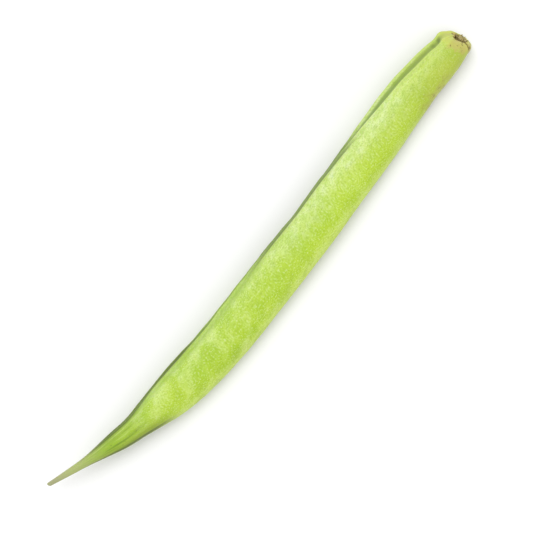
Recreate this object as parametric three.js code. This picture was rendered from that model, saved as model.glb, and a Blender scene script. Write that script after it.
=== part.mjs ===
import * as THREE from "three";

// A cluster bean (guar) pod, as picked, lying on one broad side. Millimetres, +Z up from the surface.
// +X runs from the beak tip to the blunt stem end, and +Y points to the seam side of the pod.
// A station is a share of the pod's length, 0 at the stem end and 1 at the beak tip.
// An angle goes round a section, 0 at the seam, a quarter turn at the upper broad side.

// ---- driving dimensions ----
const podLength = 120.6;
const podWidth = 9.4; // seam side to back, at the widest
const podThickness = 5.8; // between the two broad sides, at the thickest
const podBow = 7.6; // how far the middle line hangs towards the back, between the two ends
const podArch = 0.15; // how far the middle of the body stands higher than a flat lie
const stemLift = 0.8; // how far the twisted stem end stands higher, so that its corner clears the surface
const beakLift = 0.9; // how far the beak tip turns up from the surface
const archTo = 0.75; // the station where the arch is back down
const beakLiftFrom = 0.7; // the station where the beak starts to turn up
const stemTwist = THREE.MathUtils.degToRad(32); // turns the seam side upward at the stem end
const stemTwistFrom = 0.09; // the stations between which that twist dies away
const stemTwistTo = 0.36;
const beakTwist = THREE.MathUtils.degToRad(11); // turns the seam side a little upward at the beak too
const beakTwistFrom = 0.3; // the stations between which that twist grows
const beakTwistTo = 0.75;
const squareness = 2.75; // the exponent of a section, 2 for an ellipse and more for a box
const seamSquareness = 0.55; // what the exponent gains at the seam and loses at the back
const wedge = 0.16; // the seam side is this much thicker than the middle, the back this much thinner
const tipRound = 0.15; // how far the very tip stands past the last section
const clearance = 0.2; // between neighbouring pieces

const endRound = 0.8; // edge radius of the blunt stem end
const endRoundAtSeam = 1.7; // and at its seam side, where the corner is worn away
const endRoundSpread = THREE.MathUtils.degToRad(45); // how far round that side reaches
const endSlantUp = 0.55; // the blunt end leans back, so that it faces a little upward
const endSlantAside = 0.2; // and a little towards the seam side
const endSlantReach = 0.07; // the station where the lean has died away
const endDish = 0.5; // depth of the hollow in the blunt end
const scarAside = 0.6; // the middle of the hollow lies this far from the middle of the end, to the back

const ribHeight = 0.36; // the two raised ribs that edge the seam side
const ribAngle = THREE.MathUtils.degToRad(17.5);
const ribSpread = THREE.MathUtils.degToRad(4);
const channelDepth = 0.22; // the shallow channel between the ribs
const keelHeight = 0.22; // the single ridge along the back
const keelSpread = THREE.MathUtils.degToRad(9);
const seedCount = 9;
const seedSwell = 0.22; // how far each seed lifts the broad sides
const seedAcross = 0.1; // the seeds sit this far from the middle line towards the seam, as a share
const seedSpread = 0.55; // how far each swelling reaches across, as a share
const seedsFrom = 0.045;
const seedsTo = 0.76;

const scarFlattening = 0.78; // the dry collar and stump are flatter than wide, like the end they sit in
const calyxRadius = 1.45; // along the longer axis of the blunt end
const calyxThickness = 0.3;
const calyxRise = 0.22; // how far the rim of the collar stands above its foot
const calyxTears = [[5, 0.12, 0.6], [8, 0.06, 2], [13, 0.04, 0]]; // [teeth round the rim, height, phase]
const calyxLean = 0.5; // how far a tooth leans out, as a share of its height
const calyxUnderShare = 0.96; // the collar's underside and top edge, as shares of its outer radius
const calyxTopShare = 0.88;
const calyxFootThickness = 0.45; // at the inside, round the stump
const stumpRadius = 0.72;
const stumpLength = 0.85;
const stumpShares = [[1, 0.78], [0.7, 0.9], [0.35, 0.9], [0, 1]]; // [share of length, share of radius]
const stumpFlutes = 4; // shallow grooves round the stump
const stumpFluteDepth = 0.06; // as a share of its radius
const stumpFluteTurn = 3; // how far the grooves wind along the stump, in radians of their wave
const stumpSplinters = 3; // high places round its snapped end
const stumpSplinterHeight = 0.12;

// ---- how the pod lies: turned about X and Y until its low points carry it ----
const restRoll = THREE.MathUtils.degToRad(0.3);
const restPitch = THREE.MathUtils.degToRad(0.11);
const restFlattening = 0.1; // the soft pod is this much flatter where it lies on the surface

// ---- outline, as [station, share of the driving dimension] ----
const widthShares = [
  [0, 0.65], [0.035, 0.8], [0.09, 0.92], [0.13, 0.975], [0.32, 0.957], [0.5, 1], [0.6, 0.985],
  [0.69, 0.955], [0.74, 0.9], [0.775, 0.795], [0.8, 0.675], [0.835, 0.523], [0.87, 0.435], [0.93, 0.205],
  [0.965, 0.138], [1, 0.085],
];
const thicknessShares = [
  [0, 0.9], [0.05, 0.92], [0.15, 0.96], [0.3, 1], [0.66, 1], [0.72, 0.95], [0.78, 0.8], [0.84, 0.6],
  [0.9, 0.42], [0.95, 0.26], [0.98, 0.15], [1, 0.1],
];
const bowShares = [
  [0, -0.08], [0.03, -0.155], [0.07, -0.18], [0.13, -0.22], [0.2, -0.34], [0.3, -0.505], [0.4, -0.68],
  [0.5, -0.805], [0.6, -0.94], [0.68, -0.98], [0.74, -0.95], [0.79, -0.89], [0.85, -0.76],
  [0.9, -0.585], [0.95, -0.37], [1, -0.135],
];

// ---- mesh fineness ----
const sides = 56;
const seamCrowding = 0.5; // draws the sides of a section together at the seam, where the ribs are
const dishRings = 2;
const endRings = 6;
const bodyRings = 80;

// A smooth curve through [place, value] pairs, with the slope at each pair taken from its neighbours.
function smoothCurve(pairs) {
  const slopeAt = (i) => {
    const before = pairs[Math.max(i - 1, 0)];
    const after = pairs[Math.min(i + 1, pairs.length - 1)];
    return (after[1] - before[1]) / (after[0] - before[0]);
  };
  return (place) => {
    const found = pairs.findIndex((pair) => pair[0] >= place);
    const i = Math.max(found < 0 ? pairs.length - 1 : found, 1);
    const [x0, y0] = pairs[i - 1];
    const [x1, y1] = pairs[i];
    const span = x1 - x0;
    const t = (place - x0) / span;
    const rise = t * t * (3 - 2 * t);
    const leave = t * (1 - t) * (1 - t) * span * slopeAt(i - 1);
    const arrive = t * t * (t - 1) * span * slopeAt(i);
    return y0 + (y1 - y0) * rise + leave + arrive;
  };
}

const widthShare = smoothCurve(widthShares);
const thicknessShare = smoothCurve(thicknessShares);
const bowShare = smoothCurve(bowShares);

const { smoothstep } = THREE.MathUtils;
const bell = (distance, spread) => Math.exp(-((distance / spread) ** 2) / 2);
const signedPower = (value, power) => Math.sign(value) * Math.abs(value) ** power;
const angleFromSeam = (angle) => Math.abs(Math.atan2(Math.sin(angle), Math.cos(angle)));

// How far the blunt stem end is drawn in, by its round edge.
function endInset(station, turn) {
  const round = endRound + (endRoundAtSeam - endRound) * bell(turn, endRoundSpread);
  const depth = Math.min(station * podLength, round);
  return round - Math.sqrt(round ** 2 - (round - depth) ** 2);
}

// The ribs, the channel between them and the ridge along the back, in mm out from the section.
function relief(angle, size) {
  const turn = angleFromSeam(angle);
  const rib = ribHeight * bell(turn - ribAngle, ribSpread);
  const channel = channelDepth * bell(turn, ribAngle / 2);
  const keel = keelHeight * bell(turn - Math.PI, keelSpread);
  return (rib - channel + keel) * size;
}

// The swelling of the broad sides over each seed, in mm.
function seedLift(station, across) {
  const place = (station - seedsFrom) / (seedsTo - seedsFrom);
  if (place <= 0 || place >= 1) {
    return 0;
  }
  const pulse = (1 - Math.cos(2 * Math.PI * seedCount * place)) / 2;
  return seedSwell * pulse * bell(across - seedAcross, seedSpread);
}

// A point of the pod from its place in a section: the section is twisted, lifted, bowed and, near the
// stem end, leaned back.
function sectionPoint(station, y, z) {
  const stemShare = 1 - smoothstep(station, stemTwistFrom, stemTwistTo);
  const twist = stemTwist * stemShare + beakTwist * smoothstep(station, beakTwistFrom, beakTwistTo);
  const lift = podArch * Math.sin(Math.PI * Math.min(station / archTo, 1))
    + stemLift * stemShare + beakLift * smoothstep(station, beakLiftFrom, 1);
  const turnedY = y * Math.cos(twist) - z * Math.sin(twist);
  const turnedZ = y * Math.sin(twist) + z * Math.cos(twist);
  const leanShare = 1 - smoothstep(station, 0, endSlantReach);
  const lean = (endSlantAside * turnedY + endSlantUp * turnedZ) * leanShare;
  return new THREE.Vector3(
    podLength * (1 - station) - lean,
    turnedY + podBow * bowShare(station),
    turnedZ + lift,
  );
}

const endNormal = new THREE.Vector3(1, endSlantAside, endSlantUp).normalize();
const endMiddle = sectionPoint(0, -scarAside, 0);

// One point of the pod's skin.
function skinPoint(station, angle) {
  const inset = endInset(station, angleFromSeam(angle));
  const size = widthShare(station);
  const halfWidth = (podWidth / 2) * size - inset;
  const halfThickness = (podThickness / 2) * thicknessShare(station) - inset;
  const power = 2 / (squareness + seamSquareness * Math.cos(angle));
  const across = signedPower(Math.cos(angle), power);
  const up = signedPower(Math.sin(angle), power);
  const y = halfWidth * across;
  let z = halfThickness * up * (1 + wedge * across);
  const out = 1 + relief(angle, size) / Math.hypot(y, z);
  z += Math.sign(up) * seedLift(station, across) * Math.abs(up);
  return sectionPoint(station, y * out, z * out);
}

// A closed skin over rings of points, with a point in the middle of each end. Each ring goes round from
// +Y towards +Z, and the rings follow each other towards -X.
function loft(rings, startPoint, endPoint) {
  const count = rings[0].length;
  const points = [...rings.flat(), startPoint, endPoint];
  const start = points.length - 2;
  const end = points.length - 1;
  const index = [];
  for (let side = 0; side < count; side++) {
    const next = (side + 1) % count;
    index.push(start, side, next);
    for (let ring = 0; ring < rings.length - 1; ring++) {
      const a = ring * count + side;
      const b = ring * count + next;
      index.push(a, b + count, b, a, a + count, b + count);
    }
    const last = (rings.length - 1) * count;
    index.push(end, last + next, last + side);
  }
  const geometry = new THREE.BufferGeometry().setFromPoints(points);
  geometry.setIndex(index);
  geometry.computeVertexNormals();
  return geometry;
}

function podGeometry() {
  const stations = [];
  for (let i = 0; i < endRings; i++) {
    stations.push(endRoundAtSeam * (1 - Math.cos((i / endRings) * (Math.PI / 2))) / podLength);
  }
  const bodyFrom = endRoundAtSeam / podLength;
  for (let i = 0; i <= bodyRings; i++) {
    stations.push(bodyFrom + (1 - bodyFrom) * (i / bodyRings));
  }
  const rings = stations.map((station) => {
    const ring = [];
    for (let i = 0; i < sides; i++) {
      const t = (2 * Math.PI * i) / sides;
      ring.push(skinPoint(station, t - seamCrowding * Math.sin(t)));
    }
    return ring;
  });
  const edge = rings[0];
  // A point of the hollow end, at a share of the way from its middle to its edge.
  const dishPoint = (point, share) => endMiddle.clone().lerp(point, share)
    .addScaledVector(endNormal, -endDish * (1 - share ** 2));
  for (let i = dishRings; i > 0; i--) {
    rings.unshift(edge.map((point) => dishPoint(point, i / (dishRings + 1))));
  }
  const tip = rings.at(-1).reduce((sum, point) => sum.add(point), new THREE.Vector3()).divideScalar(sides);
  tip.x -= tipRound;
  return loft(rings, dishPoint(endMiddle, 0), tip);
}

// ---- the dried flower cup: a thin torn collar round the stump, higher where its teeth stand ----
// Its foot is at x = 0 and its axis is +X.
function calyxGeometry() {
  const steps = 40;
  const innerRadius = stumpRadius + clearance / scarFlattening;
  const profiles = [];
  for (let i = 0; i < steps; i++) {
    const t = (2 * Math.PI * i) / steps;
    let tear = 0;
    for (const [teeth, height, phase] of calyxTears) {
      tear += height * Math.sin(teeth * t + phase);
    }
    const outer = calyxRadius * (1 + calyxLean * tear);
    const rise = calyxRise + Math.max(0, tear);
    // The section of the collar here, as [radius, height] from its foot round over its rim and back inside.
    const section = [
      [innerRadius, 0],
      [outer * calyxUnderShare, rise],
      [outer, rise + calyxThickness / 2],
      [outer * calyxTopShare, rise + calyxThickness],
      [innerRadius, calyxFootThickness],
    ];
    profiles.push(section.map(([radius, height]) => (
      new THREE.Vector3(height, radius * Math.cos(t), scarFlattening * radius * Math.sin(t))
    )));
  }
  const count = profiles[0].length;
  const index = [];
  for (let i = 0; i < steps; i++) {
    for (let k = 0; k < count; k++) {
      const a = i * count + k;
      const b = i * count + ((k + 1) % count);
      const c = ((i + 1) % steps) * count + ((k + 1) % count);
      const d = ((i + 1) % steps) * count + k;
      index.push(a, c, b, a, d, c);
    }
  }
  const geometry = new THREE.BufferGeometry().setFromPoints(profiles.flat());
  geometry.setIndex(index);
  geometry.computeVertexNormals();
  return geometry;
}

// ---- the stump of the flower stalk, snapped off; its foot is at x = 0 and its axis is +X ----
function stumpGeometry() {
  const steps = 24;
  const rings = stumpShares.map(([along, share]) => {
    const ring = [];
    for (let i = 0; i < steps; i++) {
      const t = (2 * Math.PI * i) / steps;
      const splinter = along === 1 ? stumpSplinterHeight * Math.sin(stumpSplinters * t) : 0;
      const flute = 1 + stumpFluteDepth * Math.sin(stumpFlutes * t + stumpFluteTurn * along);
      const radius = stumpRadius * share * flute;
      const z = scarFlattening * radius * Math.sin(t);
      ring.push(new THREE.Vector3(stumpLength * along + splinter, radius * Math.cos(t), z));
    }
    return ring;
  });
  const top = new THREE.Vector3(stumpLength - stumpSplinterHeight, 0, 0);
  return loft(rings, top, new THREE.Vector3(0, 0, 0));
}

function part(name, geometry, color, roughness) {
  const mesh = new THREE.Mesh(geometry, new THREE.MeshStandardMaterial({ color, roughness, metalness: 0 }));
  mesh.name = name;
  return mesh;
}

// Brings up the lowest points of a mesh until it is flat where it lies, over the given height.
function flattenUnderside(mesh, height) {
  const positions = mesh.geometry.attributes.position;
  const points = [];
  for (let i = 0; i < positions.count; i++) {
    points.push(new THREE.Vector3().fromBufferAttribute(positions, i).applyMatrix4(mesh.matrixWorld));
  }
  const floor = Math.min(...points.map((point) => point.z)) + height;
  const toMesh = mesh.matrixWorld.clone().invert();
  points.forEach((point, i) => {
    point.z = Math.max(point.z, floor);
    positions.setXYZ(i, ...point.applyMatrix4(toMesh));
  });
  mesh.geometry.computeVertexNormals();
}

const pod = part("pod", podGeometry(), 0xb4d05a, 0.5);
const calyx = part("calyx_remnant", calyxGeometry(), 0xa29561, 0.9);
const stump = part("pedicel_stump", stumpGeometry(), 0xada069, 0.9);
for (const piece of [calyx, stump]) {
  piece.quaternion.setFromUnitVectors(new THREE.Vector3(1, 0, 0), endNormal);
  piece.rotateX(stemTwist);
  piece.position.copy(endMiddle).addScaledVector(endNormal, clearance - endDish);
}

const bean = new THREE.Group();
bean.add(pod, calyx, stump);
bean.rotation.set(restRoll, restPitch, 0);
bean.updateMatrixWorld(true);
flattenUnderside(pod, restFlattening);
const box = new THREE.Box3().setFromObject(bean, true);
bean.position.set(-(box.min.x + box.max.x) / 2, -(box.min.y + box.max.y) / 2, -box.min.z);

const model = new THREE.Group();
model.add(bean);
export default model;
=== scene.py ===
"""A cluster bean (guar) pod, as picked, lying on a white table.

The frame's three solids are replaced here by the same shapes at full fineness, with their skin relief
and materials. The shape formulas are in millimetres, and become metres where a mesh is made.
A station is a share of the pod's length, 0 at the stem end and 1 at the beak tip. An angle goes round a
section, 0 at the seam and a quarter turn at the upper broad side. A turn is how far an angle is from the
seam either way, as a share of half a turn in the materials and in radians elsewhere.
"""

import math

import bpy
import numpy as np
from mathutils import Matrix, Vector


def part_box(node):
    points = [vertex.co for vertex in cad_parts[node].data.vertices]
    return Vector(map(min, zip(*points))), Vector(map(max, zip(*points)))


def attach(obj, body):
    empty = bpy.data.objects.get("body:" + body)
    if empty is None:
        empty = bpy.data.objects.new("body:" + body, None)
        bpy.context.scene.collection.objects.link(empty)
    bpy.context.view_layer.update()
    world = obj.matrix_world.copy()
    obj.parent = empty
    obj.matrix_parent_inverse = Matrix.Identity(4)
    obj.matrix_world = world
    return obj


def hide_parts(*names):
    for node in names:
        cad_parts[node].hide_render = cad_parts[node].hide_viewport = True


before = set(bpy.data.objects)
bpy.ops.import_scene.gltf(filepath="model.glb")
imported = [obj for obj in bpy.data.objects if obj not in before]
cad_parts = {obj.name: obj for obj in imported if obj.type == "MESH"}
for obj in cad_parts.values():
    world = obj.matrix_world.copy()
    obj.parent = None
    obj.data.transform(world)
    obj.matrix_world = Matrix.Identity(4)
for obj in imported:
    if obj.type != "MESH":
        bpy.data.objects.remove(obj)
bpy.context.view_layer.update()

MM = 0.001
TURN = 2 * math.pi

# ---- the pod's driving dimensions, the same as the frame's ----
POD_LENGTH = 120.6
POD_WIDTH = 9.4
POD_THICKNESS = 5.8
POD_BOW = 7.6
POD_ARCH = 0.15
STEM_LIFT = 0.8
BEAK_LIFT = 0.9
ARCH_TO = 0.75
BEAK_LIFT_FROM = 0.7
STEM_TWIST = math.radians(32)
STEM_TWIST_FROM = 0.09
STEM_TWIST_TO = 0.36
BEAK_TWIST = math.radians(11)
BEAK_TWIST_FROM = 0.3
BEAK_TWIST_TO = 0.75
SQUARENESS = 2.75
SEAM_SQUARENESS = 0.55
WEDGE = 0.16
CLEARANCE = 0.2
END_ROUND = 0.8
END_ROUND_AT_SEAM = 1.7
END_ROUND_SPREAD = math.radians(45)
END_SLANT_UP = 0.55
END_SLANT_ASIDE = 0.2
END_SLANT_REACH = 0.07
END_DISH = 0.5
SCAR_ASIDE = 0.6
RIB_HEIGHT = 0.36
RIB_ANGLE = math.radians(17.5)
RIB_SPREAD = math.radians(4)
CHANNEL_DEPTH = 0.22
KEEL_HEIGHT = 0.22
KEEL_SPREAD = math.radians(9)
SEED_COUNT = 9
SEED_SWELL = 0.22
SEED_ACROSS = 0.1
SEED_SPREAD = 0.55
SEEDS_FROM = 0.045
SEEDS_TO = 0.76
SCAR_FLATTENING = 0.78
CALYX_RADIUS = 1.45
CALYX_FOOT = 1.02
STUMP_RADIUS = 0.72
STUMP_LENGTH = 0.85
STUMP_HOLLOW = 0.22  # how far the middle of its broken face lies below the rim
REST_ROLL = math.radians(0.3)
REST_PITCH = math.radians(0.11)
REST_FLATTENING = 0.1
GIRTH = 26.0  # round the widest section

WIDTH_SHARES = [
    (0, 0.65), (0.035, 0.8), (0.09, 0.92), (0.13, 0.975), (0.32, 0.957), (0.5, 1), (0.6, 0.985),
    (0.69, 0.955), (0.74, 0.9), (0.775, 0.795), (0.8, 0.675), (0.835, 0.523), (0.87, 0.435),
    (0.93, 0.205), (0.965, 0.138), (1, 0.085),
]
THICKNESS_SHARES = [
    (0, 0.9), (0.05, 0.92), (0.15, 0.96), (0.3, 1), (0.66, 1), (0.72, 0.95), (0.78, 0.8), (0.84, 0.6),
    (0.9, 0.42), (0.95, 0.26), (0.98, 0.15), (1, 0.1),
]
BOW_SHARES = [
    (0, -0.08), (0.03, -0.155), (0.07, -0.18), (0.13, -0.22), (0.2, -0.34), (0.3, -0.505), (0.4, -0.68),
    (0.5, -0.805), (0.6, -0.94), (0.68, -0.98), (0.74, -0.95), (0.79, -0.89), (0.85, -0.76),
    (0.9, -0.585), (0.95, -0.37), (1, -0.135),
]


# ---- small helpers for arrays ----
def smooth_curve(pairs):
    """A smooth curve through (place, value) pairs, with each pair's slope taken from its neighbours."""
    places, values = np.array(pairs, float).T
    last = len(pairs) - 1
    before = np.maximum(np.arange(len(pairs)) - 1, 0)
    after = np.minimum(np.arange(len(pairs)) + 1, last)
    slopes = (values[after] - values[before]) / (places[after] - places[before])

    def curve(place):
        i = np.clip(np.searchsorted(places, place), 1, last)
        span = places[i] - places[i - 1]
        t = (place - places[i - 1]) / span
        rise = t * t * (3 - 2 * t)
        leave = t * (1 - t) ** 2 * span * slopes[i - 1]
        arrive = t * t * (t - 1) * span * slopes[i]
        return values[i - 1] + (values[i] - values[i - 1]) * rise + leave + arrive

    return curve


width_share = smooth_curve(WIDTH_SHARES)
thickness_share = smooth_curve(THICKNESS_SHARES)
bow_share = smooth_curve(BOW_SHARES)


def bell(distance, spread):
    return np.exp(-((distance / spread) ** 2) / 2)


def smoothstep(value, low, high):
    t = np.clip((value - low) / (high - low), 0, 1)
    return t * t * (3 - 2 * t)


def signed_power(value, power):
    return np.sign(value) * np.abs(value) ** power


def angle_from_seam(angle):
    return np.abs(np.arctan2(np.sin(angle), np.cos(angle)))


def ripples(station, angle, wavelength, seed, slant=None, count=16):
    """Smooth random relief of about -1 to 1: sine waves in random directions, seamless round the pod.

    With a slant, the waves' crests lie near that angle to the pod's length instead."""
    draw = np.random.default_rng(seed)
    total = np.zeros(np.broadcast(station, angle).shape)
    for _ in range(count):
        heading = draw.uniform(0, TURN) if slant is None else slant + math.pi / 2 + draw.normal(0, 0.2)
        length = wavelength * draw.uniform(0.7, 1.6)
        along = TURN * POD_LENGTH * math.cos(heading) / length
        around = round(GIRTH * math.sin(heading) / length)
        total += np.sin(along * station + around * angle + draw.uniform(0, TURN))
    return total / math.sqrt(count)


# ---- the pod's skin ----
BRUISE_AT = 0.093  # the station of a shallow bruise on the back edge
VEIN_SLANT = math.radians(48)  # of the fine veins, from the pod's length
TIP_ROUND = 0.25  # the tip's rounding starts this far from the end of the plain skin, and
TIP_POINT = 0.16  # ends this far past it
WAVES = [(0.045, 15, 3), (0.012, 3.4, 5)]  # the height, length and seed of each kind of fine relief


def section_masks(angle):
    """Where the ribs, the channel between them, the seam's own line, the back ridge and the broad sides
    are, each 0 to 1."""
    turn = angle_from_seam(angle)
    return {
        "rib": bell(turn - RIB_ANGLE, RIB_SPREAD),
        "channel": bell(turn, RIB_ANGLE / 2),
        "seam": bell(turn, math.radians(2.4)),
        "keel": bell(turn - math.pi, KEEL_SPREAD),
        "broad": smoothstep(turn, math.radians(44), math.radians(70))
        * (1 - smoothstep(turn, 2.5, 2.9)),
    }


def seed_lift(station, across):
    place = (station - SEEDS_FROM) / (SEEDS_TO - SEEDS_FROM)
    pulse = (1 - np.cos(TURN * SEED_COUNT * place)) / 2
    swell = SEED_SWELL * pulse * bell(across - SEED_ACROSS, SEED_SPREAD)
    return np.where((place > 0) & (place < 1), swell, 0)


def section_points(station, y, z):
    """Points of the pod from places in its sections, which are turned, lifted, bowed and leaned back."""
    stem_share = 1 - smoothstep(station, STEM_TWIST_FROM, STEM_TWIST_TO)
    twist = STEM_TWIST * stem_share + BEAK_TWIST * smoothstep(station, BEAK_TWIST_FROM, BEAK_TWIST_TO)
    lift = POD_ARCH * np.sin(math.pi * np.minimum(station / ARCH_TO, 1))
    lift = lift + STEM_LIFT * stem_share + BEAK_LIFT * smoothstep(station, BEAK_LIFT_FROM, 1)
    turned_y = y * np.cos(twist) - z * np.sin(twist)
    turned_z = y * np.sin(twist) + z * np.cos(twist)
    slant = END_SLANT_ASIDE * turned_y + END_SLANT_UP * turned_z
    lean = slant * (1 - smoothstep(station, 0, END_SLANT_REACH))
    x = POD_LENGTH * (1 - station) - lean
    return np.stack([x, turned_y + POD_BOW * bow_share(station), turned_z + lift], axis=-1)


def skin(station, angle):
    """The pod's plain skin, by the same formulas as the frame's solid, as an array of points."""
    edge = END_ROUND + (END_ROUND_AT_SEAM - END_ROUND) * bell(angle_from_seam(angle), END_ROUND_SPREAD)
    depth = np.minimum(station * POD_LENGTH, edge)
    inset = edge - np.sqrt(edge**2 - (edge - depth) ** 2)
    size = width_share(station)
    half_width = POD_WIDTH / 2 * size - inset
    half_thickness = POD_THICKNESS / 2 * thickness_share(station) - inset
    power = 2 / (SQUARENESS + SEAM_SQUARENESS * np.cos(angle))
    across = signed_power(np.cos(angle), power)
    up = signed_power(np.sin(angle), power)
    y = half_width * across
    z = half_thickness * up * (1 + WEDGE * across)
    masks = section_masks(angle)
    relief = RIB_HEIGHT * masks["rib"] - CHANNEL_DEPTH * masks["channel"] + KEEL_HEIGHT * masks["keel"]
    out = 1 + relief * size / np.hypot(y, z)
    z = z + np.sign(up) * seed_lift(station, across) * np.abs(up)
    return section_points(station, y * out, z * out)


END_NORMAL = Vector((1, END_SLANT_ASIDE, END_SLANT_UP)).normalized()
END_MIDDLE = Vector(section_points(0.0, -SCAR_ASIDE, 0.0))
END_LEAN = Vector((1, 0, 0)).rotation_difference(END_NORMAL).to_matrix()
END_TURN = END_LEAN @ Matrix.Rotation(STEM_TWIST, 3, "X")
END_SEAT = END_MIDDLE + END_NORMAL * (CLEARANCE - END_DISH)


def fine_relief(station, angle):
    """The relief that the frame leaves out, in mm out from the skin."""
    masks = section_masks(angle)
    size = width_share(station)
    body = smoothstep(station, 0, 0.02) * (1 - smoothstep(station, 0.86, 0.97))
    turn = angle_from_seam(angle)
    relief = sum(height * ripples(station, angle, length, seed) for height, length, seed in WAVES) * body
    # fine veins run slantwise from the ribs over the broad sides
    veins = ripples(station, turn, 1.5, seed=11, slant=VEIN_SLANT, count=12)
    relief += 0.007 * veins * masks["broad"] * body
    # the ribs are crisper and less even than the plain skin, and a faint groove runs beside each
    crest = bell(turn - RIB_ANGLE, RIB_SPREAD / 2) * size
    relief += (0.09 + 0.035 * ripples(station, angle, 6, seed=8)) * crest
    relief -= 0.06 * bell(turn - RIB_ANGLE - math.radians(10), math.radians(4)) * size
    relief -= (0.04 + 0.1 * smoothstep(station, 0.15, 0.4)) * masks["seam"] * size
    # the drying beak has fine lengthwise furrows
    furrows = np.sin(11 * angle + 3 * np.sin(9 * station)) + 0.6 * np.sin(17 * angle + 2)
    relief += 0.03 * furrows * smoothstep(station, 0.82, 0.95) * np.minimum(1, size / 0.2)
    # the blunt stem end is puckered, with a low swollen rim that isn't quite even
    puckers = np.sin(13 * angle + 1.5 * np.sin(2 * angle)) + 0.7 * np.sin(8 * angle + 1)
    relief += 0.04 * puckers * (1 - smoothstep(station, 0.0, 0.035))
    uneven = np.sin(3 * angle + 0.8) + 0.7 * np.sin(5 * angle + 2.1)
    relief += 0.09 * uneven * (1 - smoothstep(station, 0.004, 0.02))
    relief += 0.12 * bell(station - 0.009, 0.005) - 0.09 * bell(station - 0.027, 0.009)
    # a shallow bruise on the back edge, a little way in from the stem end
    bruise = bell(station - BRUISE_AT, 0.011) * bell(turn - 2.75, 0.3) * (np.sin(angle) > -0.2)
    relief -= 0.22 * bruise
    return relief


REST_TURN = Matrix.Rotation(REST_ROLL, 3, "X") @ Matrix.Rotation(REST_PITCH, 3, "Y")


def frame_shift():
    """How far the turned pod has to move to lie where the frame has it."""
    stations = np.linspace(0, 1, 500)[:, None]
    angles = np.linspace(0, TURN, 300)[None, :]
    points = skin(stations, angles).reshape(-1, 3) @ np.array(REST_TURN).T
    low, high = np.array(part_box("pod")) / MM
    shift = (low + high) / 2 - (points.min(axis=0) + points.max(axis=0)) / 2
    shift[0] = high[0] - points[:, 0].max()
    shift[2] = low[2] - points[:, 2].min() - REST_FLATTENING
    return shift


FRAME_SHIFT = frame_shift()


def place_on_frame(points):
    """Points turned the way the pod lies and moved to where the frame has it, with a flat underside."""
    placed = points @ np.array(REST_TURN).T + FRAME_SHIFT
    placed[..., 2] = np.maximum(placed[..., 2], 0)
    return placed


# ---- meshes ----
def ring_faces(count, sides, closed):
    """Faces between neighbouring rings of points, and back to the first where the last ring meets it."""
    ring = np.arange(count if closed else count - 1)[:, None]
    side = np.arange(sides)[None, :]
    here, there = ring * sides, (ring + 1) % count * sides
    after = (side + 1) % sides
    return np.stack([here + side, there + side, there + after, here + after], -1).reshape(-1, 4)


def unwrap(rings, closed):
    """A cylindrical unwrap of the ring faces, with v by the true distance from ring to ring."""
    loop = np.concatenate([rings, rings[:1]]) if closed else rings
    steps = np.linalg.norm(np.diff(loop, axis=0), axis=2).mean(axis=1)
    v = np.concatenate([[0], np.cumsum(steps)])
    v = (v + 0.02 * v[-1]) / (1.04 * v[-1])
    u = np.arange(rings.shape[1] + 1) / rings.shape[1]
    u0, u1, v0, v1 = u[None, :-1], u[None, 1:], v[:-1, None], v[1:, None]
    pairs = ((u0, v0), (u0, v1), (u1, v1), (u1, v0))
    corners = [np.stack(np.broadcast_arrays(*pair), -1) for pair in pairs]
    return np.stack(corners, 2).reshape(-1), u, v


def skin_mesh(name, rings, attributes, poles=None):
    """A smooth closed skin over rings of points in the pod's own frame.

    It has a pole at each end, or else its last ring meets its first. Each attribute is an array that
    spreads over the rings."""
    count, sides, _ = rings.shape
    closed = poles is None
    faces = ring_faces(count, sides, closed).tolist()
    points = rings.reshape(-1, 3)
    uv, u, v = unwrap(rings, closed)
    if not closed:
        points = np.concatenate([points, poles])
        first, last, base = count * sides, count * sides + 1, (count - 1) * sides
        faces += [(first, i, (i + 1) % sides) for i in range(sides)]
        faces += [(last, base + (i + 1) % sides, base + i) for i in range(sides)]
        middle = (u[:-1] + u[1:]) / 2
        fans = []
        for pole_v, edge_v, left, right in ((0, v[0], u[:-1], u[1:]), (1, v[-1], u[1:], u[:-1])):
            fan = [(middle, pole_v), (left, edge_v), (right, edge_v)]
            fans.append(np.stack([np.stack([x, np.full(sides, y)], -1) for x, y in fan], 1).reshape(-1))
        uv = np.concatenate([uv, *fans])
    mesh = bpy.data.meshes.new(name)
    mesh.from_pydata((place_on_frame(points) * MM).tolist(), [], faces)
    mesh.uv_layers.new(name="OFBake").data.foreach_set("uv", uv)
    for key, values in attributes.items():
        flat = np.broadcast_to(values, (count, sides)).reshape(-1)
        if not closed:
            flat = np.concatenate([flat, [flat[0], flat[-1]]])
        mesh.attributes.new(key, "FLOAT", "POINT").data.foreach_set("value", flat.astype(np.float32))
    mesh.polygons.foreach_set("use_smooth", [True] * len(mesh.polygons))
    mesh.update()
    piece = bpy.data.objects.new(name, mesh)
    bpy.context.scene.collection.objects.link(piece)
    return piece


def normals_of(rings):
    """The outward direction at each point of a grid of rings."""
    along = np.gradient(rings, axis=0)
    around = (np.roll(rings, -1, axis=1) - np.roll(rings, 1, axis=1)) / 2
    normal = np.cross(along, around)
    return normal / np.maximum(np.linalg.norm(normal, axis=2, keepdims=True), 1e-9)


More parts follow.
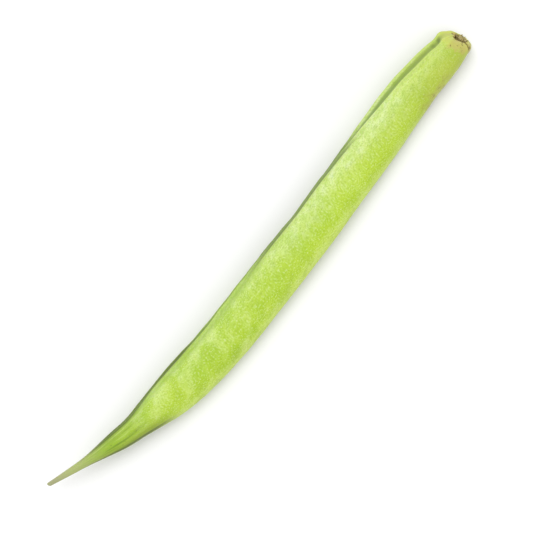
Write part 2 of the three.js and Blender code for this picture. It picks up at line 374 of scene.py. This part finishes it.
def make_pod():
    sides, body_rings, edge_rings, face_rings, tip_rings = 196, 460, 16, 20, 8
    t = np.linspace(0, TURN, sides, endpoint=False)
    angle = (t - 0.55 * np.sin(t))[None, :]  # closer together near the seam
    edge = 1 - np.cos(np.linspace(0, math.pi / 2, edge_rings, endpoint=False))
    edge = END_ROUND_AT_SEAM * edge / POD_LENGTH
    along = np.linspace(0, 1, body_rings)
    tip_crowded = along + 0.06 * np.sin(math.pi * along) * along  # shorter steps towards the tip
    body_from, body_to = END_ROUND_AT_SEAM / POD_LENGTH, 1 - TIP_ROUND / POD_LENGTH
    body = body_from + (body_to - body_from) * tip_crowded
    station = np.concatenate([edge, body])[:, None]
    rings = skin(station, angle)
    rings = rings + normals_of(rings) * fine_relief(station, angle)[..., None]
    # the end face is a shallow wrinkled dish that the flower cup sits in
    share = np.linspace(0.04, 1, face_rings, endpoint=False)[:, None]
    wrinkles = 0.05 * np.sin(9 * angle + 5 * share) + 0.035 * np.sin(23 * angle + 2)
    wrinkles = wrinkles + 0.03 * np.sin(14 * angle - 9 * share)
    scar_ring = 0.12 * bell(share - 0.8, 0.05)
    dip = END_DISH * (1 - share**2) + wrinkles * np.sin(math.pi * share) - scar_ring
    middle = np.array(END_MIDDLE)
    face = middle + (rings[0] - middle) * share[..., None] - np.array(END_NORMAL) * dip[..., None]
    centre = middle - np.array(END_NORMAL) * END_DISH
    # the tip is a blunt dry point, rounded in the direction that the beak has there
    tip_centre = rings[-1].mean(axis=0)
    outward = tip_centre - rings[-6].mean(axis=0)
    reach = outward / np.linalg.norm(outward) * (TIP_ROUND + TIP_POINT)
    cap = np.linspace(0, math.pi / 2, tip_rings + 1, endpoint=False)[1:, None, None]
    tip = tip_centre + (rings[-1] - tip_centre) * np.cos(cap) + reach * np.sin(cap)
    rings = np.concatenate([face, rings, tip])
    masks = section_masks(angle)
    attributes = {
        "station": np.concatenate([np.zeros((face_rings, 1)), station, np.ones((tip_rings, 1))]),
        "turn": angle_from_seam(angle) / math.pi,
        "dish": np.concatenate([1 - share, np.zeros((len(rings) - face_rings, 1))]),
        "upper": np.sin(angle),
        "rib": masks["rib"],
        "channel": masks["channel"],
        "seam": masks["seam"],
    }
    return skin_mesh("pod_skin", rings, attributes, [centre, tip_centre + reach])


def seated(x, radius, angle):
    """Points of a dry piece, from their height over the hollow stem end's floor and place round it."""
    x, radius, angle = np.broadcast_arrays(x, radius, angle)
    points = np.stack([x, radius * np.cos(angle), SCAR_FLATTENING * radius * np.sin(angle)], -1)
    return points @ np.array(END_TURN).T + np.array(END_SEAT)


def ragged(angle, seed, tears):
    """A torn edge, 0 to 1: a few broad teeth with small nicks in them."""
    draw = np.random.default_rng(seed)
    edge = 0.55 + 0.3 * np.sin(tears * angle + 0.6) + 0.12 * np.sin((2 * tears + 1) * angle + 2)
    for _ in range(16):
        place, depth, spread = draw.uniform(0, TURN), draw.uniform(0.1, 0.5), draw.uniform(0.03, 0.09)
        edge = edge - depth * bell(angle_from_seam(angle - place), spread)
    return np.clip(edge, 0, 1)


def make_calyx():
    """The dried flower cup: what is left of it is a thin torn collar, curled outward."""
    sides, steps = 210, 16
    angle = np.linspace(0, TURN, sides, endpoint=False)[None, :]
    up = np.linspace(0, 1, steps)
    share = np.concatenate([up, up[::-1]])[:, None]  # up the outer face, and down the inner one
    face = np.concatenate([np.ones(steps), -np.ones(steps)])[:, None]
    edge = ragged(angle, 21, 7)
    thickness = 0.13 * (1 - share) + 0.035
    folds = 0.05 * np.sin(17 * angle + 3 * share) + 0.035 * np.sin(29 * angle + 1)
    spread = (CALYX_RADIUS - CALYX_FOOT) * share**1.4 * (0.8 + 0.3 * edge)
    radius = CALYX_FOOT + spread + folds * share + face * thickness
    height = 0.02 + (0.22 + 0.34 * edge) * share - 0.05 * face * share + 0.4 * folds * share
    rings = seated(height, radius, angle)[::-1]
    return skin_mesh("calyx_skin", rings, {"tear": edge * share[::-1]})


def make_stump():
    """What is left of the flower stalk: a fluted stub, snapped off with its fibres showing."""
    sides, side_rings, face_rings = 150, 22, 12
    angle = np.linspace(0, TURN, sides, endpoint=False)[None, :]
    splinters = 0.16 * np.sin(3 * angle) + 0.09 * np.sin(11 * angle + 1) + 0.07 * np.sin(19 * angle + 4)
    share = np.linspace(0, 1, side_rings)[:, None]
    flutes = 0.06 * np.sin(4 * angle + 3 * share) + 0.045 * np.sin(13 * angle + 0.5 * share)
    radius = STUMP_RADIUS * (1 - 0.2 * np.sin(math.pi * share / 2)) * (1 + flutes)
    height = STUMP_LENGTH * share + splinters * share**4
    # the broken face falls in towards its middle, with the ends of fibres standing up
    inward = np.linspace(1, 0, face_rings, endpoint=False)[1:, None]
    fibres = 0.07 * np.sin(9 * angle + 14 * inward) * np.sin(21 * inward + 3)
    face_floor = STUMP_LENGTH - STUMP_HOLLOW
    face_height = face_floor + (STUMP_HOLLOW + splinters) * inward**2 + fibres
    height = np.concatenate([height, face_height])
    radius = np.concatenate([radius, radius[-1:] * inward])
    core = np.concatenate([np.zeros((side_rings, 1)), 1 - inward])
    poles = seated(np.array([face_floor, 0.0]), 0.0, 0.0)
    return skin_mesh("stump_skin", seated(height, radius, angle)[::-1], {"core": core[::-1]}, poles)


# ---- materials ----
def colour(hex_code):
    """Linear red, green, blue and alpha from a hex colour."""
    channels = [int(hex_code[i:i + 2], 16) / 255 for i in (1, 3, 5)]
    return [c / 12.92 if c <= 0.04045 else ((c + 0.055) / 1.055) ** 2.4 for c in channels] + [1]


class Shader:
    """A material's node tree, with short ways to add and join its nodes."""

    def __init__(self, name):
        self.material = bpy.data.materials.new(name)
        self.material.use_nodes = True
        self.tree = self.material.node_tree
        self.surface = self.tree.nodes["Principled BSDF"]
        self.place = self.add("ShaderNodeTexCoord").outputs["Object"]

    def add(self, kind, inputs=None, **settings):
        node = self.tree.nodes.new(kind)
        for key, value in settings.items():
            setattr(node, key, value)
        for key, value in (inputs or {}).items():
            if isinstance(value, bpy.types.NodeSocket):
                self.tree.links.new(value, node.inputs[key])
            else:
                node.inputs[key].default_value = value
        return node

    def attribute(self, name):
        return self.add("ShaderNodeAttribute", attribute_name=name).outputs["Fac"]

    def math(self, operation, a, b=0.0):
        return self.add("ShaderNodeMath", {0: a, 1: b}, operation=operation).outputs[0]

    def times(self, first, *others):
        """The product of masks and numbers."""
        for other in others:
            first = self.math("MULTIPLY", first, other)
        return first

    def distance(self, value, place):
        return self.math("ABSOLUTE", self.math("SUBTRACT", value, place))

    def range(self, value, low, high, to_low=0.0, to_high=1.0):
        """A smooth change from to_low where the value is low to to_high where it is high."""
        keys = ("Value", "From Min", "From Max", "To Min", "To Max")
        inputs = dict(zip(keys, (value, low, high, to_low, to_high)))
        return self.add("ShaderNodeMapRange", inputs, interpolation_type="SMOOTHSTEP").outputs[0]

    def ramp(self, value, stops):
        """A smooth curve of grey values over stops of (place, value), from 0 to 1."""
        node = self.add("ShaderNodeValToRGB", {"Fac": value})
        node.color_ramp.interpolation = "EASE"
        points = node.color_ramp.elements
        for place, _ in stops[2:]:
            points.new(place)
        for point, (place, level) in zip(points, stops):
            point.position = place
            point.color = (level, level, level, 1)
        return node.outputs["Color"]

    def on_skin(self, length, breadth, heading=0.0):
        """Places on the skin for grain of this length and breadth in mm, turned from lengthwise."""
        flat = self.add("ShaderNodeCombineXYZ", {
            "X": self.math("MULTIPLY", self.attribute("station"), POD_LENGTH),
            "Y": self.math("MULTIPLY", self.attribute("turn"), GIRTH / 2),
            "Z": self.attribute("upper"),
        }).outputs[0]
        inputs = {"Vector": flat, "Scale": (length, breadth, 1), "Rotation": (0, 0, heading)}
        return self.add("ShaderNodeMapping", inputs, vector_type="TEXTURE").outputs[0]

    def noise(self, scale, detail=3.0, roughness=0.5, vector=None):
        """Noise of this scale over the object, or of scale 1 over places that on_skin has scaled."""
        place = vector or self.place
        inputs = {"Vector": place, "Scale": scale, "Detail": detail, "Roughness": roughness}
        return self.add("ShaderNodeTexNoise", inputs).outputs["Fac"]

    def blend(self, factor, a, b):
        """From colour a where the factor is 0 to colour b where it is 1."""
        node = self.add("ShaderNodeMix", data_type="RGBA", blend_type="MIX")
        sockets = [s for s in node.inputs if s.enabled]
        for socket, value in zip(sockets, (factor, a, b)):
            if isinstance(value, bpy.types.NodeSocket):
                self.tree.links.new(value, socket)
            else:
                socket.default_value = value
        return [s for s in node.outputs if s.enabled][0]

    def tint(self, base, share, hex_code):
        """The base colour with this share of another over it."""
        return self.blend(share, base, colour(hex_code))

    def bump(self, height, distance, strength, normal=None):
        inputs = {"Height": height, "Distance": distance, "Strength": strength}
        if normal is not None:
            inputs["Normal"] = normal
        return self.add("ShaderNodeBump", inputs).outputs[0]

    def finish(self, base, roughness, normal):
        for key, value in (("Base Color", base), ("Roughness", roughness), ("Normal", normal)):
            self.tree.links.new(value, self.surface.inputs[key])
        return self.material


BLOOM_AND_HIGHLIGHT_ALONG = [  # how strong the bloom and the painted highlight are at each station
    (0, 0.3), (0.1, 0.4), (0.2, 0.9), (0.38, 0.9), (0.53, 0.4), (0.72, 0.6), (0.8, 0.8), (0.87, 0),
]
PITS = [(0.018, 0.5), (0.035, 0.3)]  # the station and strength of each dark pit at the channel's end
BACK_EDGE_SHADE_AT = 0.84  # the turn of the painted shade line along the back edge of the beak
WHITISH = "#e6f0c4"  # the bloom, the fine pale hairs and the painted highlight's pale speckle
DARKEST_BROWN = "#655426"  # the spots and the core of the dry pieces


def body_colour(s, station, turn):
    """The skin away from the seam and the ends: yellow-green, with a whitish bloom on the seam half that
    is partly painted highlight, and a pale back rim that is partly painted light.
    """
    drift = s.range(s.noise(42, 3, 0.5), 0.34, 0.66)
    patches = s.range(s.noise(170, 4, 0.5), 0.34, 0.66)
    mottle = s.noise(1, 4, 0.6, s.on_skin(2.2, 1.5, VEIN_SLANT - math.radians(10)))
    veins = s.noise(1, 2, 0.5, s.on_skin(1.7, 0.7, VEIN_SLANT - math.radians(14)))
    clouds = s.noise(1, 2, 0.5, s.on_skin(4.5, 2.6, VEIN_SLANT - math.radians(12)))
    back = s.blend(drift, colour("#a8ca26"), colour("#bad637"))
    back = s.tint(back, s.times(patches, 0.5), "#c2da44")
    bloom_and_highlight = s.blend(drift, colour("#c6de7c"), colour("#d1e58e"))
    # the bloom, partly painted highlight, ends at an uneven line along the pod's middle, and is worn off
    # in clouds towards the beak
    uneven = s.math("ADD", turn, s.range(mottle, 0.2, 0.8, -0.06, 0.06))
    worn = s.times(s.range(clouds, 0.56, 0.4), s.range(station, 0.5, 0.66, 0, 0.75))
    strength = s.times(s.ramp(station, BLOOM_AND_HIGHLIGHT_ALONG), s.math("SUBTRACT", 1.0, worn))
    base = s.blend(s.times(s.range(uneven, 0.54, 0.24), strength), back, bloom_and_highlight)
    # the back rim is paler: partly its own colour, partly painted light that lifts the shade where the
    # skin turns away
    pale_and_lit_rim_turn = s.math("ADD", turn, s.range(patches, 0, 1, -0.03, 0.03))
    base = s.tint(base, s.range(pale_and_lit_rim_turn, 0.66, 0.86, 0, 0.8), "#d3ea6c")
    # soft clouds over both halves, faint near the stem end
    cloudy = s.range(station, 0.2, 0.5, 0.3, 1)
    base = s.tint(base, s.times(s.range(clouds, 0.48, 0.74, 0, 0.5), cloudy), "#d6e884")
    base = s.tint(base, s.times(s.range(clouds, 0.5, 0.26, 0, 0.34), cloudy), "#a0c036")
    # soft mottling: the bloom is thicker in places and worn thin in others, along fine slanting veins;
    # its pale flecks are partly painted highlight
    hold = s.times(s.range(turn, 0.62, 0.34), s.range(station, 0.74, 0.6, 0.6, 1))
    base = s.tint(base, s.times(s.range(mottle, 0.38, 0.75, 0, 0.68), hold, strength), WHITISH)
    base = s.tint(base, s.times(s.range(mottle, 0.52, 0.3, 0, 0.36), hold), "#a6c74c")
    base = s.tint(base, s.times(s.range(veins, 0.52, 0.3, 0, 0.36), hold), "#9dbf4c")
    return base, uneven, mottle


def seam_colour(s, base, station, turn):
    """The seam side: pale ribs, and between them a dull green channel that darkens towards the beak,
    with painted shade on the seam side and along its edge.
    """
    # painted shade: the seam side is darker towards the beak
    shade = s.times(s.range(turn, 0.32, 0.2), s.range(station, 0.42, 0.54, 0, 0.5))
    base = s.tint(base, shade, "#9cbb52")
    along = s.range(station, 0.16, 0.34)
    fibres = s.range(s.noise(1, 3, 0.6, s.on_skin(14, 0.35)), 0.35, 0.65)
    young = s.blend(fibres, colour("#6f8f2c"), colour("#8aad3c"))
    old = s.blend(fibres, colour("#5a7333"), colour("#7c9549"))
    channel = s.blend(along, young, old)
    # the green fills the channel near the stem end; further on it reaches up to the crests of the ribs
    # as painted shade along the seam edge
    inside = s.times(s.range(s.attribute("channel"), 0.3, 0.85), s.range(station, 0.1, 0.3, 0.7, 0.75))
    narrowing = s.range(station, 0.72, 0.9, 0, 0.08)
    reach = s.range(s.math("SUBTRACT", turn, narrowing), 0.105, 0.06)
    base = s.blend(s.math("MAXIMUM", inside, s.times(reach, along, 0.85)), base, channel)
    line = s.times(s.attribute("seam"), s.range(station, 0.1, 0.4, 0.3, 0.8))
    base = s.tint(base, line, "#4f6a2f")
    # painted shade: along the middle of the pod the dark line spills over the rib that faces up,
    # darkening the edge seen from above
    middle = s.ramp(station, [(0.22, 0), (0.28, 1), (0.46, 1), (0.56, 0)])
    painted_edge_shade = s.times(s.range(turn, 0.16, 0.138), s.range(s.attribute("upper"), -0.5, -0.3))
    base = s.tint(base, s.times(painted_edge_shade, middle, 0.82), "#5f7138")
    rib = s.times(s.attribute("rib"), s.range(station, 0.34, 0.16, 0.1, 0.55))
    return s.tint(base, rib, "#c4db84")


def beak_colour(s, base, station, turn):
    """The beak is greener than the pod and lined lengthwise, with painted shade along its edges, and its
    tip has dried olive and grey.
    """
    along = s.range(station, 0.785, 0.885)
    base = s.tint(base, s.times(along, 0.8), "#93b62e")
    base = s.tint(base, s.times(along, s.range(turn, 0.55, 0.2, 0, 0.5)), "#8ba04c")
    lines = s.noise(1, 3, 0.6, s.on_skin(14, 1.2))
    base = s.tint(base, s.times(along, s.range(lines, 0.52, 0.66, 0, 0.6)), "#c9de7c")
    base = s.tint(base, s.times(along, s.range(lines, 0.48, 0.34, 0, 0.7)), "#618225")
    # the back half is a duller, darker olive: partly its own colour, partly painted shade
    olive_and_shade_along = s.ramp(station, [(0.76, 0), (0.82, 1), (0.9, 0.8), (0.95, 0)])
    base = s.tint(base, s.times(s.range(turn, 0.46, 0.74, 0, 0.75), olive_and_shade_along), "#8a9c36")
    # painted shade: a dark line runs down the beak along each edge of the side that faces up
    painted_back_edge_shade = s.range(s.distance(turn, BACK_EDGE_SHADE_AT), 0.1, 0.04)
    painted_back_edge_shade = s.times(painted_back_edge_shade, s.range(s.attribute("upper"), 0.05, 0.25))
    painted_back_edge_shade = s.times(painted_back_edge_shade, s.ramp(station, [(0.76, 0), (0.83, 0.9), (0.92, 0.9), (0.96, 0)]))
    seam_along = [(0.64, 0), (0.7, 0.75), (0.79, 0.55), (0.87, 0.75), (0.9, 0.75), (0.96, 0)]
    from_edge = s.math("ADD", turn, s.range(station, 0.86, 0.77, 0, 0.06))
    painted_seam_edge_shade = s.times(s.range(from_edge, 0.19, 0.14), s.ramp(station, seam_along))
    base = s.tint(base, s.math("MAXIMUM", painted_back_edge_shade, painted_seam_edge_shade), "#606d30")
    flecks = s.range(s.noise(1, 1, 0.5, s.on_skin(0.9, 0.5)), 0.68, 0.74, 0, 0.7)
    base = s.tint(base, s.times(along, flecks), "#66792e")
    base = s.tint(base, s.range(station, 0.88, 0.965, 0, 0.85), "#b2b87c")
    return s.tint(base, s.range(station, 0.95, 0.995), "#a9aa80")


def end_colour(s, base, station, turn, uneven):
    """The blunt stem end: a stain, a yellowish rim round the tan hollow, and pits in the channel."""
    yellowed = s.times(s.range(station, 0.18, 0.05), s.range(turn, 0.3, 0.7, 0.2, 0.55))
    base = s.tint(base, yellowed, "#bec356")
    near = s.ramp(station, [(0.05, 0), (0.075, 1), (0.11, 0.8), (0.15, 0)])
    stain = s.times(near, s.range(uneven, 0.5, 0.7), s.range(s.noise(440, 4), 0.36, 0.54))
    base = s.tint(base, s.times(stain, 0.55), "#b9b25a")
    specks = s.range(s.noise(1, 1, 0.5, s.on_skin(0.9, 0.5)), 0.55, 0.64)
    base = s.tint(base, s.times(stain, specks, 0.75), "#877c38")
    base = s.tint(base, s.range(station, 0.02, 0.002, 0, 0.8), "#ccd26a")
    floor = s.range(s.attribute("channel"), 0.35, 0.95)
    for place, depth in PITS:
        pit = s.times(floor, s.range(s.distance(station, place), 0.007, 0.001, 0, depth))
        base = s.tint(base, pit, "#5a6c30")
    # round the hollow, on the side that faces up, the skin is weathered yellow and tan with brown marks
    ragged_edge = s.math("ADD", station, s.range(s.noise(800, 2), 0.3, 0.7, -0.007, 0.007))
    faces_up = s.times(s.range(turn, 0.24, 0.4), s.range(s.attribute("upper"), 0, 0.4))
    weathered = s.times(s.range(ragged_edge, 0.02, 0.009), faces_up)
    base = s.tint(base, s.times(weathered, 0.7), "#c8be6a")
    marks = s.range(s.noise(1000, 3), 0.54, 0.62, 0, 0.85)
    base = s.tint(base, s.times(weathered, marks), "#77682e")
    blots = s.range(s.noise(1100, 3, 0.6), 0.43, 0.57)
    scar = s.blend(blots, colour("#6a5c28"), colour("#c4b46e"))
    return s.blend(s.range(s.attribute("dish"), 0.0, 0.12), base, scar)


def pod_material():
    s = Shader("pod_skin")
    s.surface.inputs["Specular IOR Level"].default_value = 0.28
    s.surface.inputs["Subsurface Weight"].default_value = 0.3
    s.surface.inputs["Subsurface Radius"].default_value = (0.7, 1.0, 0.25)
    s.surface.inputs["Subsurface Scale"].default_value = 0.0012
    station, turn = s.attribute("station"), s.attribute("turn")
    base, uneven, mottle = body_colour(s, station, turn)
    stipple = s.noise(1, 2, 0.6, s.on_skin(0.36, 0.28))
    base = s.tint(base, s.range(stipple, 0.5, 0.72, 0, 0.4), WHITISH)
    base = s.tint(base, s.range(stipple, 0.5, 0.28, 0, 0.44), "#8aaa36")
    base = seam_colour(s, base, station, turn)
    base = beak_colour(s, base, station, turn)
    base = end_colour(s, base, station, turn, uneven)
    grain = s.bump(stipple, 0.03 * MM, 0.8)
    normal = s.bump(mottle, 0.03 * MM, 0.7, grain)
    dry = s.range(s.attribute("dish"), 0.0, 0.2, 0, 0.35)
    return s.finish(base, s.math("ADD", s.range(stipple, 0.3, 0.7, 0.36, 0.5), dry), normal)


def dry_material(name, fibre_scale, dark, pale, bump_height):
    """A start for the dry pieces: the shader, its fibrous base colour, and its roughness and normal."""
    s = Shader(name)
    fibres = s.noise(fibre_scale, 4, 0.65)
    base = s.blend(s.range(fibres, 0.35, 0.65), colour(dark), colour(pale))
    return s, base, s.range(fibres, 0.3, 0.7, 0.75, 0.92), s.bump(fibres, bump_height * MM, 0.8)


def calyx_material():
    s, base, roughness, normal = dry_material("calyx_skin", 3200, "#8c7c42", "#cbbc80", 0.12)
    base = s.tint(base, s.range(s.attribute("tear"), 0.35, 0.85, 0, 0.75), "#ddd3a0")
    base = s.tint(base, s.range(s.noise(1000, 2), 0.54, 0.64, 0, 0.85), DARKEST_BROWN)
    return s.finish(base, roughness, normal)


def stump_material():
    s, base, roughness, normal = dry_material("stump_skin", 3600, "#998a4c", "#d2c588", 0.1)
    core = s.attribute("core")
    base = s.tint(base, s.range(core, 0.1, 0.3, 0, 0.8), "#71612e")
    base = s.tint(base, s.range(core, 0.4, 0.7), "#d5ca96")
    base = s.tint(base, s.range(core, 0.85, 0.95), DARKEST_BROWN)
    return s.finish(base, roughness, normal)


# ---- stage ----
SENSOR_WIDTH = 36
FLOOR_GREY = (0.5, 0.5, 0.5, 1)  # what lights the pod from below
FLOOR_WHITE = (0.98, 0.98, 0.98, 1)  # where it is seen


def bearing(azimuth, elevation):
    """The direction of something at these angles in degrees, with azimuth 0 towards -Y and 90 towards
    +X.
    """
    a, e = math.radians(azimuth), math.radians(elevation)
    return Vector((math.sin(a) * math.cos(e), -math.cos(a) * math.cos(e), math.sin(e)))


def make_floor():
    bpy.ops.mesh.primitive_plane_add(size=8)
    floor = bpy.context.object
    floor.name = "floor"
    s = Shader("floor")
    s.surface.inputs["Specular IOR Level"].default_value = 0
    path = s.add("ShaderNodeLightPath")
    seen = s.math("MAXIMUM", path.outputs["Is Camera Ray"], path.outputs["Is Glossy Ray"])
    base = s.blend(seen, FLOOR_GREY, FLOOR_WHITE)
    s.tree.links.new(base, s.surface.inputs["Base Color"])
    s.surface.inputs["Roughness"].default_value = 1
    floor.data.materials.append(s.material)


def make_world(strength):
    """A white surrounding of this strength on the pod, and of plain white where it is seen."""
    world = bpy.data.worlds.new("studio")
    bpy.context.scene.world = world
    world.use_nodes = True
    nodes, links = world.node_tree.nodes, world.node_tree.links
    background = nodes["Background"]
    background.inputs["Color"].default_value = (1, 1, 1, 1)
    path = nodes.new("ShaderNodeLightPath")
    seen = nodes.new("ShaderNodeMath")
    seen.operation = "MAXIMUM"
    links.new(path.outputs["Is Camera Ray"], seen.inputs[0])
    links.new(path.outputs["Is Transmission Ray"], seen.inputs[1])
    level = nodes.new("ShaderNodeMapRange")
    links.new(seen.outputs[0], level.inputs["Value"])
    level.inputs["To Min"].default_value = strength
    level.inputs["To Max"].default_value = 1
    links.new(level.outputs[0], background.inputs["Strength"])


def make_sun(name, azimuth, elevation, strength, angle):
    sun = bpy.data.lights.new(name, "SUN")
    sun.energy = strength
    sun.angle = math.radians(angle)
    lamp = bpy.data.objects.new(name, sun)
    lamp.rotation_euler = bearing(azimuth, elevation).to_track_quat("Z", "Y").to_euler()
    bpy.context.scene.collection.objects.link(lamp)


def make_camera(azimuth, elevation, lens, frame_width, aim):
    """A camera that looks at aim from the given side, with frame_width metres across its picture."""
    camera = bpy.data.cameras.new("camera")
    camera.lens = lens
    camera.sensor_width = SENSOR_WIDTH
    camera.clip_start = 0.01
    camera.clip_end = 50
    holder = bpy.data.objects.new("camera", camera)
    towards = bearing(azimuth, elevation)
    holder.location = Vector(aim) + towards * (frame_width * lens / SENSOR_WIDTH)
    holder.rotation_euler = towards.to_track_quat("Z", "Y").to_euler()
    bpy.context.scene.collection.objects.link(holder)
    bpy.context.scene.camera = holder


def add_piece(piece, material, node):
    piece.data.materials.append(material)
    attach(piece, "root")
    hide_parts(node)


add_piece(make_pod(), pod_material(), "pod")
add_piece(make_calyx(), calyx_material(), "calyx_remnant")
add_piece(make_stump(), stump_material(), "pedicel_stump")

make_floor()
make_world(0.72)
make_sun("key", azimuth=158, elevation=58, strength=1.0, angle=50)
make_sun("fill", azimuth=-30, elevation=60, strength=0.6, angle=110)
make_camera(azimuth=-47.4, elevation=86, lens=150, frame_width=0.106, aim=(0, 0.001, 0.003))
bpy.context.scene.view_settings.view_transform = "Standard"
